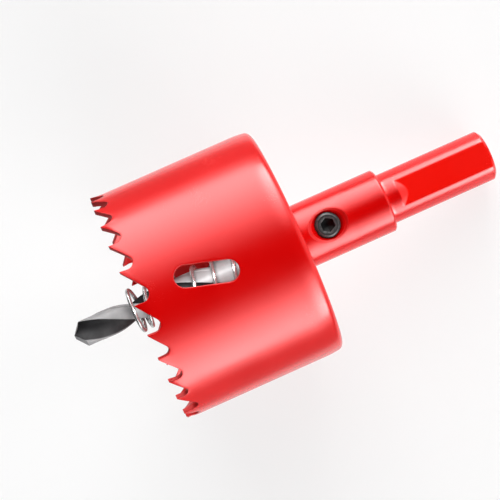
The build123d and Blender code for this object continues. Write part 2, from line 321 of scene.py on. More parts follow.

# %% [markdown]
# ## Spring wire and blackened screw
#
# Drawn spring wire is bright with scratches along its length, which follow the wire, so they come from
# the wire's own values rather than from places in space. The screw is blackened steel: a dark, partly
# metallic skin with an oily, uneven sheen, and a paler colour on its edges.

# %% Spring steel
def spring_steel():
    material, tree, shader, place = new_material("drawn_spring_wire")
    around, along = (maths(tree, "MULTIPLY", own_value(tree, name), waves)
                     for name, waves in (("around", 40.0), ("along", 30.0)))
    track = put(tree, "ShaderNodeCombineXYZ", {0: around, 1: along}).outputs[0]
    scratches, cloud = noise(tree, track, 1.0, 3.0), noise(tree, place, 500.0, 3.0)
    feed(tree, shader, {"Base Color": mottled(tree, cloud, (0.42, 0.43, 0.44), (0.56, 0.56, 0.55)),
                        "Metallic": 0.85, "Roughness": remap(tree, scratches, 0.3, 0.7, 0.16, 0.30)})
    bump(tree, shader, scratches, 0.2, 0.000006)
    return material


SPRING_STEEL = spring_steel()
print("made", SPRING_STEEL.name)


# %% Blackened screw steel
def screw_steel():
    material, tree, shader, place = new_material("blackened_screw_steel")
    cloud, grain = noise(tree, place, 1300.0, 4.0), noise(tree, place, 9000.0)
    # the colour turns paler on the marked edges, in patches
    paler_edges = maths(tree, "MULTIPLY", own_value(tree, "edge"), remap(tree, cloud, 0.25, 0.6))
    black = blend_colours(tree, cloud, (0.010, 0.011, 0.012), (0.024, 0.023, 0.022))
    feed(tree, shader, {"Base Color": blend_colours(tree, paler_edges, black, (0.09, 0.09, 0.09)),
                        "Roughness": remap(tree, grain, 0.3, 0.7, 0.34, 0.5),
                        "Metallic": 0.4, "Specular IOR Level": 0.3})
    bump(tree, shader, grain, 0.2, 0.000006)
    return material


SCREW_STEEL = screw_steel()
print("made", SCREW_STEEL.name)

# %% [markdown]
# ## The saw cup: teeth by a rule
#
# The rim has 26 teeth. Evenly spaced teeth would chatter, so their spacing follows an uneven rhythm that
# runs twice round the rim, and they stand straight, outwards and inwards in turn to clear the cut.
# Modelling each tooth by hand would bury that rule. Here one tooth gap is drawn once, one unit wide,
# with its sloping back, round gullet and steep cutting face. A Geometry Nodes tree sets a copy on each
# of 26 points that carry the spacing, scales it to its own gap and bends it round the rim.

# %% Sizes of the cup, in mm
CUP_R, WALL, CUP_HEIGHT, CAP = 27.5, 1.2, 39.3, 3.0
TIP_Z = -CUP_HEIGHT
OUTER_CORNER_R, INNER_CORNER_R, NOSE_HOLE_R = 1.5, 1.0, 5.77
TOOTH_SPACING = (14.0, 13.0, 13.6, 14.5, 16.7, 14.8, 12.2, 14.3, 12.1, 15.3, 12.6, 14.1, 12.8)
TOOTH_COUNT, FIRST_TIP = 26, -74.0
BACK_SLOPE, HOOK_SLOPE = math.tan(math.radians(37)), math.tan(math.radians(3))
TIP_LAND, GULLET_SHARE = 0.2, 0.23
TOOTH_SET, SET_DEPTH, SET_CYCLE = 0.3, 2.36, (0, 1, -1)  # straight, outwards, inwards
RIM_DEPTH = 6.0  # where the teeth end and the plain wall begins, behind the tips
RIM_LEAN = 0.9  # how far the mesh's columns lean on their way there
EDGE_R = 0.12  # rounding of the cut edges
DRAW_IN, DRAW_LENGTH = 0.2, 3.0  # how the press draws the wall in before its corner
DRAW_LEAN = math.degrees(math.atan(2 * DRAW_IN / DRAW_LENGTH))


def tooth_outline(width):
    """One gap from tip to tip, as distance along the rim and depth behind the tips."""
    root_x = (width - TIP_LAND * BACK_SLOPE * HOOK_SLOPE) / (1 - BACK_SLOPE * HOOK_SLOPE)
    root = np.array([root_x, (root_x - TIP_LAND) * BACK_SLOPE])
    land_end, next_tip = np.array([TIP_LAND, 0.0]), np.array([width, 0.0])
    back = (land_end - root) / np.linalg.norm(land_end - root)
    face = (next_tip - root) / np.linalg.norm(next_tip - root)
    half = math.acos(back @ face) / 2
    gullet_r = GULLET_SHARE * width
    start = root + back * gullet_r / math.tan(half)
    centre = root + (back + face) / np.linalg.norm(back + face) * gullet_r / math.sin(half)
    spoke = start - centre
    turns = np.linspace(0, -(math.pi - 2 * half), 11)
    arc = [centre + np.array([spoke[0] * math.cos(t) - spoke[1] * math.sin(t),
                              spoke[0] * math.sin(t) + spoke[1] * math.cos(t)]) for t in turns]
    slope = [land_end + (start - land_end) * t for t in np.linspace(0, 1, 8)]
    rise = [arc[-1] + (next_tip - arc[-1]) * t for t in np.linspace(0, 1, 5)]
    return np.array([np.zeros(2)] + slope[:-1] + arc + rise[1:]), len(slope) + len(arc) // 2


UNIT = 2 * CUP_R * math.sin(math.pi / TOOTH_COUNT)
outline, gullet_bottom = tooth_outline(UNIT)
print("one gap has", len(outline), "points and is", round(outline[:, 1].max(), 2), "mm deep")

# %% One tooth gap as a strip of wall, one unit wide
def inward_miter(line):
    """Direction from each point of the repeating outline into the metal, for a shift of one."""
    before = np.vstack([line[-2] - line[-1] * [1, 0] + line[0], line[:-1]])
    after = np.vstack([line[1:], line[1] + line[-1] * [1, 0]])
    first, second = line - before, after - line
    normal = lambda d: np.stack([-d[:, 1], d[:, 0]], 1) / np.linalg.norm(d, axis=1)[:, None]
    a, b = normal(first), normal(second)
    middle = (a + b) / np.linalg.norm(a + b, axis=1)[:, None]
    return middle / np.clip((middle * a).sum(1), 0.5, 1)[:, None]


def arc_share(line):
    steps = np.linalg.norm(np.diff(line, axis=0), axis=1)
    return np.concatenate([[0], np.cumsum(steps)]) / steps.sum()


def round_over(radius):
    """Steps (inset, inwards) of a rounded edge, on the wall's outside and then on its inside."""
    steps = [(radius * (1 - math.sin(t)), radius * (1 - math.cos(t))) for t in np.radians([30, 60, 90])]
    return [(inset, -drop) for inset, drop in steps] + [(inset, drop - WALL) for inset, drop in steps[::-1]]


def store_values(mesh, values):
    for name, data in values.items():
        mesh.attributes.new(name, "FLOAT", "POINT").data.foreach_set("value", data.astype(np.float32))


def read_value(mesh, name):
    data = np.zeros(len(mesh.vertices), np.float32)
    mesh.attributes[name].data.foreach_get("value", data)
    return data


def tooth_cell():
    """A mesh whose points say how deep, how far round and how far into the wall they are."""
    share, miter, count = arc_share(outline), inward_miter(outline), len(outline)
    side = (np.arange(count) >= gullet_bottom).astype(float)
    spread = [1.0, 0.7, 0.45, 0.22, 0.0]
    rows = [(w, EDGE_R, 0.0, 0.0) for w in spread]
    rows += [(0.0, inset, inwards, 1.0) for inset, inwards in round_over(EDGE_R)]
    rows += [(w, EDGE_R, -WALL, 0.0) for w in spread[::-1]]
    points = np.zeros((len(rows), count, 3))
    points[..., :2] = outline / UNIT
    faces = [(k * count + i, k * count + i + 1, (k + 1) * count + i + 1, (k + 1) * count + i)
             for k in range(len(rows) - 1) for i in range(count - 1)]
    mesh = bpy.data.meshes.new("tooth_cell")
    mesh.from_pydata(points.reshape(-1, 3).tolist(), [], faces)
    grid = lambda values: np.broadcast_to(values, (len(rows), count)).ravel()
    to_rim, inset, inwards, edge = (column[:, None] for column in np.array(rows).T)
    store_values(mesh, {
        "to_rim": grid(to_rim), "rim_share": grid(share), "next_tooth": grid(side),
        "inset_along": grid(inset * miter[:, 0]), "inset_deep": grid(inset * miter[:, 1]),
        "inwards": grid(inwards), "edge": grid(edge),
    })
    return bpy.data.objects.new("tooth_cell", mesh)


def tooth_points():
    """One point a gap, carrying its tip's angle, its width and the set of the teeth at its ends."""
    steps = np.array([TOOTH_SPACING[i % len(TOOTH_SPACING)] for i in range(TOOTH_COUNT)])
    steps = np.radians(steps * 360 / steps.sum())
    tips = math.radians(FIRST_TIP) + np.concatenate([[0], np.cumsum(steps)])[:-1]
    bends = np.array([SET_CYCLE[i % len(SET_CYCLE)] for i in range(TOOTH_COUNT)])
    mesh = bpy.data.meshes.new("tooth_points")
    mesh.from_pydata([(0, 0, 0)] * TOOTH_COUNT, [], [])
    values = {"tip_angle": tips, "gap_angle": steps, "width": 2 * CUP_R * np.sin(steps / 2),
              "bend": bends, "next_bend": np.roll(bends, -1)}
    store_values(mesh, values)
    return bpy.data.objects.new("tooth_points", mesh), values


cell = tooth_cell()
points, rule = tooth_points()
print("tooth cell has", len(cell.data.polygons), "faces; widest gap", round(rule["width"].max(), 2), "mm")

# %% The tree that sets the gaps round the rim
def new_tree(name, sizes):
    """A Geometry Nodes group with a mesh going in and out, its named sizes and its output."""
    tree = bpy.data.node_groups.new(name, "GeometryNodeTree")
    tree.interface.new_socket(name="Geometry", in_out="INPUT", socket_type="NodeSocketGeometry")
    for label, kind in sizes.items():
        tree.interface.new_socket(name=label, in_out="INPUT", socket_type="NodeSocket" + kind)
    tree.interface.new_socket(name="Geometry", in_out="OUTPUT", socket_type="NodeSocketGeometry")
    return tree, tree.nodes.new("NodeGroupInput").outputs, tree.nodes.new("NodeGroupOutput")


def deliver(tree, shape, size, result):
    """Ends a tree with plain points in the finish that was given."""
    whole = put(tree, "GeometryNodeRealizeInstances", {0: shape}).outputs[0]
    done = put(tree, "GeometryNodeSetMaterial", {"Geometry": whole, "Material": size["Finish"]}).outputs[0]
    tree.links.new(done, result.inputs[0])
    return tree


def named(tree, name):
    """A value stored on the geometry."""
    node = put(tree, "GeometryNodeInputNamedAttribute", {"Name": name}, data_type="FLOAT")
    return socket(node.outputs, "Attribute")


def grow(obj, tree, sizes):
    """Runs a tree on an object, gives the plain mesh that comes out and drops the modifier."""
    bpy.context.scene.collection.objects.link(obj)
    modifier = obj.modifiers.new(tree.name, "NODES")
    modifier.node_group = tree
    sockets = {s.name: s.identifier for s in tree.interface.items_tree if s.in_out == "INPUT"}
    for label, value in sizes.items():
        modifier[sockets[label]] = value
    evaluated = obj.evaluated_get(bpy.context.evaluated_depsgraph_get())
    mesh = bpy.data.meshes.new_from_object(evaluated)
    obj.modifiers.remove(modifier)
    return mesh


def toothed_rim_tree():
    sizes = {"Tooth cell": "Object", "Cup radius": "Float", "Tips": "Float", "Set": "Float",
             "Set depth": "Float", "Rim depth": "Float", "Rim lean": "Float", "Finish": "Material"}
    tree, size, result = new_tree("toothed_rim", sizes)
    add, times, over = (lambda *values, kind=kind: maths(tree, kind, *values)
                        for kind in ("ADD", "MULTIPLY", "DIVIDE"))
    stored = lambda name: named(tree, name)

    blank = put(tree, "GeometryNodeObjectInfo", {"Object": size["Tooth cell"]}).outputs["Geometry"]
    width, to_rim = stored("width"), stored("to_rim")
    scale = put(tree, "ShaderNodeCombineXYZ", {0: width, 1: width, 2: 1.0}).outputs[0]
    copies = put(tree, "GeometryNodeInstanceOnPoints",
                 {"Points": size["Geometry"], "Instance": blank, "Scale": scale}).outputs[0]
    strip = put(tree, "GeometryNodeRealizeInstances", {0: copies}).outputs[0]

    here = put(tree, "ShaderNodeSeparateXYZ", {0: put(tree, "GeometryNodeInputPosition").outputs[0]})
    along = blend_values(tree, to_rim, add(here.outputs[0], stored("inset_along")),
                         times(stored("rim_share"), width))
    deep = blend_values(tree, to_rim, add(here.outputs[1], stored("inset_deep")), size["Rim depth"])
    from_middle = maths(tree, "SUBTRACT", along, times(width, 0.5))
    swing = maths(tree, "ARCSINE", over(from_middle, size["Cup radius"]))
    middle = maths(tree, "MULTIPLY_ADD", stored("gap_angle"), 0.5, stored("tip_angle"))
    angle = add(add(middle, swing), times(to_rim, over(size["Rim lean"], size["Cup radius"])))
    bend = blend_values(tree, stored("next_tooth"), stored("bend"), stored("next_bend"))
    left = maths(tree, "SUBTRACT", 1.0, over(deep, size["Set depth"]))
    out = times(times(bend, size["Set"]), maths(tree, "MAXIMUM", left, 0.0))
    radius = add(add(size["Cup radius"], stored("inwards")), out)
    place = put(tree, "ShaderNodeCombineXYZ", {
        0: times(radius, maths(tree, "COSINE", angle)), 1: times(radius, maths(tree, "SINE", angle)),
        2: add(size["Tips"], deep),
    }).outputs[0]
    bent = put(tree, "GeometryNodeSetPosition", {"Geometry": strip, "Position": place}).outputs[0]
    return deliver(tree, bent, size, result)


rim = grow(points, toothed_rim_tree(), {
    "Tooth cell": cell, "Cup radius": CUP_R, "Tips": TIP_Z, "Set": TOOTH_SET, "Set depth": SET_DEPTH,
    "Rim depth": RIM_DEPTH, "Rim lean": RIM_LEAN, "Finish": ENAMEL,
})
print("toothed rim:", len(rim.vertices), "points,", len(rim.polygons), "faces")

# %% [markdown]
# ## The cup's wall, cap and slot
#
# The wall, its rounded corner and the cap are one drawn sheet, so they are rows of points on the same
# columns as the teeth. The slanted slot lets chips out and a lever in. A boolean cut would leave slivers
# in the gloss paint, so a window is left in the rows and filled with rings that close in on the slot.

# %% Rows with a window, and rings that fill it
def open_window(skin, rows, window):
    """Joins rows except inside the window, and gives the window's border as one loop."""
    top, bottom, left, right = window
    for k, (a, b) in enumerate(zip(rows, rows[1:])):
        skin.join(a, b, range(left, right) if top <= k < bottom else ())
    loop = [rows[top][i] for i in range(left, right)] + [rows[k][right] for k in range(top, bottom)]
    loop += [rows[bottom][i] for i in range(right, left, -1)]
    loop += [rows[k][left] for k in range(bottom, top, -1)]
    return np.array(loop)


SLOT_LENGTH, SLOT_WIDTH, SLOT_SLANT = 14.3, 5.0, math.radians(16.8)
SLOT_Z, SLOT_ANGLE = TIP_Z + 17.0, math.radians(-2.3)
SLOT_EDGE_R = 0.15
WINDOW_HALF, WINDOW_COLUMNS = 8.6, 18  # half the window, along the axis and in columns of the mesh


def slot_border(loop, grow_by):
    """Where rays from the slot's middle to a loop cross its outline, grown by some mm, and that loop."""
    across = CUP_R * np.sin(np.arctan2(loop[:, 1], loop[:, 0]) - SLOT_ANGLE)
    along = loop[:, 2] - SLOT_Z
    c, s = math.cos(SLOT_SLANT), math.sin(SLOT_SLANT)
    ray = np.arctan2(across * c - along * s, along * c + across * s)
    half, reach = SLOT_WIDTH / 2 + grow_by, (SLOT_LENGTH - SLOT_WIDTH) / 2
    side = half / np.maximum(np.abs(np.sin(ray)), 1e-9)
    end = reach * np.abs(np.cos(ray)) + np.sqrt(np.maximum(half**2 - (reach * np.sin(ray)) ** 2, 0))
    length = np.where(np.abs(side * np.cos(ray)) <= reach, side, end)
    u, v = length * np.cos(ray), length * np.sin(ray)
    return np.stack([v * c + u * s, u * c - v * s], 1), np.stack([across, along], 1)


def on_wall(flat, inwards):
    angle = SLOT_ANGLE + np.arcsin(flat[:, 0] / CUP_R)
    return polar(CUP_R + inwards, angle, SLOT_Z + flat[:, 1])


# %% The whole cup
def saw_cup():
    skin = Skin()
    start = skin.add(np.array([v.co for v in rim.vertices]), edge=read_value(rim, "edge"))[0]
    skin.faces += [tuple(int(start + i) for i in face.vertices) for face in rim.polygons]

    share = arc_share(outline)[:-1]
    swing = np.arcsin((share - 0.5) * rule["width"][:, None] / CUP_R) + RIM_LEAN / CUP_R
    angles = ((rule["tip_angle"] + rule["gap_angle"] / 2)[:, None] + swing).ravel()

    heights = np.linspace(TIP_Z + RIM_DEPTH, -OUTER_CORNER_R, 34)
    corner = np.radians(np.linspace(DRAW_LEAN, 90, 9))
    outside = [(CUP_R - DRAW_IN * max(0, 1 + (z + OUTER_CORNER_R) / DRAW_LENGTH) ** 2, z) for z in heights]
    outside += [(CUP_R - DRAW_IN - OUTER_CORNER_R * (math.cos(corner[0]) - math.cos(t)),
                 OUTER_CORNER_R * (math.sin(t) - 1)) for t in corner[1:]]
    outside += [(r, 0.0) for r in (22.0, 16.0, 10.5, 7.0, NOSE_HOLE_R)]
    inner_r, floor_z = CUP_R - WALL, -CAP
    inside = [(r, floor_z) for r in (NOSE_HOLE_R, 8.0, 14.0, 20.0)]
    inside += [(inner_r - INNER_CORNER_R * (1 - math.sin(t)), floor_z - INNER_CORNER_R * (1 - math.cos(t)))
               for t in np.radians(np.linspace(0, 90, 7))]
    inner_heights = np.linspace(floor_z - INNER_CORNER_R, TIP_Z + RIM_DEPTH, 26)[1:]
    inside += [(inner_r, z) for z in inner_heights]
    outer_rows, inner_rows = ([skin.add(polar(r, angles, z)) for r, z in side] for side in (outside, inside))

    middle = np.argmin(np.abs(angles - SLOT_ANGLE))
    columns = middle - WINDOW_COLUMNS, middle + WINDOW_COLUMNS
    low, high = SLOT_Z - WINDOW_HALF, SLOT_Z + WINDOW_HALF
    nearest = lambda zs, z: np.argmin(np.abs(zs - z))
    outer_loop = open_window(skin, outer_rows, (nearest(heights, low), nearest(heights, high), *columns))
    skin.join(outer_rows[-1], inner_rows[0])
    skin.stack(inner_rows[:-len(inner_heights)])
    zs = np.concatenate([[floor_z - INNER_CORNER_R], inner_heights])
    inner_loop = open_window(skin, inner_rows[-len(zs):], (nearest(zs, high), nearest(zs, low), *columns))
    print("slot window", len(outer_loop), "and", len(inner_loop), "points")

    # The rings keep to the outer border's directions, and the inner border is bridged to the last of them.
    outer_xyz = np.array(skin.points)[outer_loop]
    bare, border = slot_border(outer_xyz, SLOT_EDGE_R)
    rings = [skin.add(on_wall(bare + (border - bare) * f, 0.0)) for f in (0.7, 0.45, 0.25, 0.1, 0.0)]
    rings += [skin.add(on_wall(slot_border(outer_xyz, inset)[0], inwards), edge=0.6)
              for inset, inwards in round_over(SLOT_EDGE_R)]
    rings.append(skin.add(on_wall(bare, -WALL)))
    skin.join(outer_loop, rings[0])
    skin.stack(rings)
    bridge(skin, rings[-1], inner_loop)
    return skin


def bridge(skin, ring, loop):
    """Joins two loops of different counts by always taking the shorter way across."""
    sides = []
    for row in (ring, loop):
        x, y, z = np.array(skin.points)[row].T
        turn = np.arctan2(z - SLOT_Z, CUP_R * (np.arctan2(y, x) - SLOT_ANGLE))
        order = np.argsort(turn)
        after = [*turn[order][1:], turn[order][0] + 2 * math.pi, math.inf]
        sides.append(([int(i) for i in row[order]], after))
    (ring, after_ring), (loop, after_loop) = sides
    i = j = 0
    while i < len(ring) or j < len(loop):
        here, there = ring[i % len(ring)], loop[j % len(loop)]
        if after_ring[i] <= after_loop[j]:
            i += 1
            skin.faces.append((here, ring[i % len(ring)], there))
        else:
            j += 1
            skin.faces.append((here, loop[j % len(loop)], there))


cup = make_piece("cup_finish", saw_cup(), ENAMEL)
stand_for(cup, "saw_cup")
for helper in (cell, points):
    bpy.data.objects.remove(helper)

# %% [markdown]
# ## The arbor
#
# The arbor is turned from one bar: a staked collar and nose through the cap, a thick body, and a shank
# whose three milled flats keep it from slipping in a chuck. Cutting flats into a lathed mesh would leave
# hard, jagged borders. Instead each point of the shank is pulled in to whichever is nearer, the round bar
# or the flat, with a soft blend between them, as paint softens such an edge.

# %% A turned outline with softened corners
def soften(path, steps=4):
    """Points (radius, z, rounding) as a line whose corners are rounded by that many mm."""
    path = [np.array(p, float) for p in path]
    line = [path[0][:2]]
    for before, here, after in zip(path, path[1:], path[2:]):
        a, b = before[:2] - here[:2], after[:2] - here[:2]
        a, b = a / np.linalg.norm(a), b / np.linalg.norm(b)
        half = math.acos(np.clip(a @ b, -1, 1)) / 2
        if here[2] <= 0 or half > math.radians(88):
            line.append(here[:2])
            continue
        reach = here[2] / math.tan(half)
        centre = here[:2] + (a + b) / np.linalg.norm(a + b) * here[2] / math.sin(half)
        first, last = here[:2] + a * reach - centre, here[:2] + b * reach - centre
        whole = math.acos(np.clip(first @ last / here[2] ** 2, -1, 1))
        for t in np.linspace(0, 1, steps):
            mixed = (math.sin((1 - t) * whole) * first + math.sin(t * whole) * last) / math.sin(whole)
            line.append(centre + mixed)
    line.append(path[-1][:2])
    return line


def rows_between(line, breaks):
    """The same line with extra points at some heights on its straight runs."""
    done = [line[0]]
    for a, b in zip(line, line[1:]):
        inside = sorted((z for z in breaks if min(a[1], b[1]) + 0.02 < z < max(a[1], b[1]) - 0.02),
                        reverse=bool(b[1] < a[1]))
        done += [a + (b - a) * (z - a[1]) / (b[1] - a[1]) for z in inside]
        done.append(b)
    return done


def soft_min(a, b, width):
    share = np.clip(0.5 + 0.5 * (b - a) / width, 0, 1)
    return b * (1 - share) + a * share - width * share * (1 - share)


# %% Sizes of the arbor, in mm
BODY_R, BODY_LENGTH, BODY_CHAMFER = 7.6, 22.6, 0.45
SHANK_R, SHANK_END, END_CHAMFER = 6.0, 48.8, (0.9, 0.7)
NOSE_R, COLLAR_R, COLLAR_FACE = 5.75, 7.0, -3.8
BORE_R, BORE_END = 3.205, 14.0
FLAT_FROM_AXIS, FLAT_START, FLAT_RUNOUT = 5.14, BODY_LENGTH + 3.2, 2.1
SCREW_Z, SCREW_HOLE_R, COUNTERSINK_R = 7.7, 3.0, 4.65
FLAT_ANGLES = np.radians([-120, 0, 120])
FLAT_BLEND, RUNOUT_BLEND, RUNOUT_HOLLOW = 0.14, 0.12, 0.43
HOLE_WINDOW = math.radians(47.5)  # half the angle left open for the screw's hole
HOLE_LIP, HOLE_FLOOR = 0.16, 3.5  # plain rim round the countersink, and the hole's floor above the axis
DRILL_POINT = math.radians(59)  # half the angle of the drill's point


def wrap(angle):
    """An angle brought within half a turn of zero."""
    return (angle + math.pi) % (2 * math.pi) - math.pi


def flat_limit(angle, z):
    """Distance from the axis at which a flat, with its sloping run-out, stops the shank."""
    flat = FLAT_FROM_AXIS / np.cos(np.abs(wrap(angle[:, None] - FLAT_ANGLES)).min(1))
    cone_length = SHANK_R * FLAT_RUNOUT / (SHANK_R - FLAT_FROM_AXIS)
    run = (z - FLAT_START) / cone_length
    slope = SHANK_R * (1 - run) - RUNOUT_HOLLOW * run * (1 - run)
    return -soft_min(-flat, np.full_like(flat, -slope), RUNOUT_BLEND)


def shank_radius(radius, angle, z):
    """The round radius, or the flats' limit from just before they begin."""
    round_bar = np.full_like(angle, radius)
    return round_bar if z < FLAT_START - 0.05 else soft_min(round_bar, flat_limit(angle, z), FLAT_BLEND)


# %% The arbor with its countersunk screw hole
def arbor():
    edge = math.acos(FLAT_FROM_AXIS / SHANK_R)
    near = np.radians([-3.0, -2.1, -1.4, -0.7, 0.0, 0.7, 1.4, 2.1, 3.0])
    special = wrap(np.concatenate([f + s * edge + near for f in FLAT_ANGLES for s in (-1, 1)]))
    even = np.radians(np.arange(-180, 180, 2.5))
    gap = np.abs(wrap(even[:, None] - special)).min(1)
    angles = np.sort(np.concatenate([even[gap > math.radians(0.8)], special]))

    path = soften([
        (BORE_R, BORE_END, 0), (BORE_R, COLLAR_FACE, 0.15), (COLLAR_R, COLLAR_FACE, 0.25),
        (COLLAR_R, -CAP + 0.001, 0), (NOSE_R, -CAP, 0), (NOSE_R, 0.001, 0), (BODY_R, 0.0, 0.12),
        (BODY_R, BODY_LENGTH - BODY_CHAMFER, 0.12), (BODY_R - BODY_CHAMFER, BODY_LENGTH, 0.12),
        (SHANK_R, BODY_LENGTH, 0.25), (SHANK_R, SHANK_END - END_CHAMFER[1], 0.3),
        (SHANK_R - END_CHAMFER[0], SHANK_END, 0.25), (2.0, SHANK_END, 0),
    ])
    window_z = np.linspace(1.5, 13.9, 21)
    breaks = [*window_z, *np.arange(14.6, 22, 1.2), 23.6, 24.6, 25.3,
              *(FLAT_START + np.arange(-0.1, 2.6, 0.12)), *np.arange(28.6, 48, 1.4)]
    line = rows_between(path, breaks)
    skin, rows = Skin(), []
    for r, z in line:
        cut = shank_radius(r, angles, z)
        # painted light: where the flats cut the bar, a value that makes the paint a lighter red
        thick = np.clip((r - cut) / 0.08, 0, 1) * (z > FLAT_START)
        rows.append(skin.add(polar(cut, angles, z), thick=thick))
    ends = (next(k for k, (r, z) in enumerate(line) if abs(r - BODY_R) < 1e-6 and abs(z - end) < 1e-6)
            for end in (window_z[0], window_z[-1]))
    sides = (int(np.argmin(np.abs(angles - side * HOLE_WINDOW))) for side in (-1, 1))
    loop = open_window(skin, rows, (*ends, *sides))

    xyz = np.array(skin.points)[loop]
    y, dz = xyz[:, 1], xyz[:, 2] - SCREW_Z
    turn = np.arctan2(y, dz)
    sink_x = BODY_R - (COUNTERSINK_R - SCREW_HOLE_R)
    rim_r = np.full_like(turn, COUNTERSINK_R)
    for _ in range(40):  # settles where the countersink's cone meets the round body
        rim_r = SCREW_HOLE_R + np.sqrt(BODY_R**2 - (rim_r * np.sin(turn)) ** 2) - sink_x

    def on_body(y, dz, drop=0.0, edge=0.0):
        return skin.add(np.stack([np.sqrt(BODY_R**2 - y**2) - drop, y, SCREW_Z + dz], 1), edge=edge)

    def ring_at(radius, x, edge=0.0):
        points = np.broadcast_arrays(x, radius * np.sin(turn), SCREW_Z + radius * np.cos(turn))
        return skin.add(np.stack(points, 1), edge=edge)

    lip = rim_r + HOLE_LIP
    lip_y, lip_z = lip * np.sin(turn), lip * np.cos(turn)
    rings = [on_body(lip_y * (1 - f) + y * f, lip_z * (1 - f) + dz * f) for f in (0.6, 0.3, 0.1, 0.0)]
    rings += [on_body((rim_r + grow_by) * np.sin(turn), (rim_r + grow_by) * np.cos(turn), drop, 0.7)
              for grow_by, drop in ((0.08, 0.012), (0.0, 0.045))]
    rings += [ring_at(*ring) for ring in (
        (rim_r - 0.1, sink_x + rim_r - 0.1 - SCREW_HOLE_R, 0.7),
        ((rim_r + SCREW_HOLE_R) / 2, sink_x + (rim_r - SCREW_HOLE_R) / 2),
        (SCREW_HOLE_R + 0.05, sink_x + 0.05), (SCREW_HOLE_R, sink_x - 0.04), (SCREW_HOLE_R, HOLE_FLOOR),
    )]
    skin.join(loop, rings[0])
    skin.stack(rings)
    skin.fan(rings[-1], (HOLE_FLOOR, 0, SCREW_Z))
    skin.fan(rows[0], (0, 0, BORE_END + BORE_R / math.tan(DRILL_POINT)))
    skin.fan(rows[-1], (0, 0, SHANK_END))
    return skin


arbor_piece = make_piece("arbor_finish", arbor(), ENAMEL)
stand_for(arbor_piece, "arbor")

# %% [markdown]
# ## The pilot drill
#
# A twist drill keeps one cross-section that turns as it goes: two lands, each with a narrow ground margin
# behind its lip, and two hollow flutes round a thin web. Drawing that section once and turning it a little
# more at each row gives edges that run along the mesh, so they stay crisp. At its point the rows start
# where the section meets two relieved flanks, which leaves real lips and a short chisel edge.

# %% Sizes of the drill, in mm, and its cross-section
DRILL_R, POINT_Z, DRILL_END = 3.175, TIP_Z - 16.25, 13.5
WEB, FLUTE_SPREAD, LEAD = 0.65, 105.0, 41.1
FLUTE_END, FLUTE_RISE = POINT_Z + 36.0, 5.0 / (DRILL_R - WEB)
MARGIN_STEP, MARGIN_DEGREES = 0.11, 13.0
CHISEL_HALF, CHISEL_TURN, CHISEL_Z = 0.6, math.radians(109.5), POINT_Z + 0.22
POINT_SLOPE, RELIEF = 1 / math.tan(DRILL_POINT), math.tan(math.radians(11))
FULL_Z = POINT_Z + 3.4  # where the ground point has ended all round
# heights along the plain end, with 1 on the screw's flat and -1 at the chamfer
TAIL = ((-4.0, 0), (4.199, 0), (4.2, 1), (11.2, 1), (11.201, 0), (13.2, 0), (13.5, -1))
LIP = math.degrees(math.asin(WEB / DRILL_R))
HEEL = -LIP - FLUTE_SPREAD


def half_section():
    """One land and the flute before it, from the lip round the land, back down the flute's hollow."""
    turn = lambda r, degrees: r * np.array([math.cos(math.radians(degrees)), math.sin(math.radians(degrees))])
    low = DRILL_R - MARGIN_STEP
    heel = HEEL + 180
    land = [turn(DRILL_R, a) for a in np.linspace(-LIP, -LIP + MARGIN_DEGREES, 5)]
    land += [turn(low, a) for a in np.linspace(-LIP + MARGIN_DEGREES + 2.5, heel - 2.0, 11)]
    land += [turn(low - 0.02, heel - 0.7)]
    hx, hy = turn(low, HEEL)
    radius = -(hx**2 + (hy + WEB) ** 2) / (2 * (hy + WEB))
    centre = np.array([0.0, -WEB - radius])
    last = math.atan2(hy - centre[1], hx - centre[0])
    sweep = np.linspace(math.pi / 2, last + (2 * math.pi if last < math.pi / 2 else 0), 18)
    hollow = [centre + radius * np.array([math.cos(a), math.sin(a)]) for a in sweep]
    lip_line = [np.array([x, -WEB]) for x in np.linspace(0, DRILL_R * math.cos(math.radians(LIP)), 9)]
    mirrored = [-p for p in hollow[::-1]][:-1] + [-p for p in lip_line][:-1]
    flute = [0.0] * len(land) + [1.0] * len(mirrored)
    return np.array(land + mirrored), np.array(flute), centre, radius


HALF, HALF_FLUTE, HOLLOW_CENTRE, HOLLOW_R = half_section()
SECTION = np.vstack([HALF, -HALF])
IN_FLUTE = np.concatenate([HALF_FLUTE, HALF_FLUTE])
START_TURN = math.radians(-93.3 - HEEL)
print("drill section has", len(SECTION), "points")

# %% The twisted body and the ground point
def turned(points, z):
    """Section points turned to their place at height z."""
    angle = START_TURN + 2 * math.pi * (z - POINT_Z) / LEAD
    x, y = points[:, 0], points[:, 1]
    return np.stack([x * np.cos(angle) - y * np.sin(angle), x * np.sin(angle) + y * np.cos(angle)], 1)


def flank_height(points, z):
    """Height of the ground flanks over section points that stand turned as at height z."""
    angle = np.arctan2(points[:, 1], points[:, 0]) + 2 * math.pi * (z - POINT_Z) / LEAD - CHISEL_TURN
    rho = np.hypot(points[:, 0], points[:, 1])
    spread = np.hypot(rho * np.sin(angle), np.maximum(np.abs(rho * np.cos(angle)) - CHISEL_HALF, 0))
    degrees = np.degrees(angle) % 180
    behind = np.interp(degrees, [0, 180 - math.degrees(CHISEL_TURN) - LIP, 133.7, 180], [0, 0, 1.309, 0])
    return CHISEL_Z + POINT_SLOPE * spread + RELIEF * rho * behind


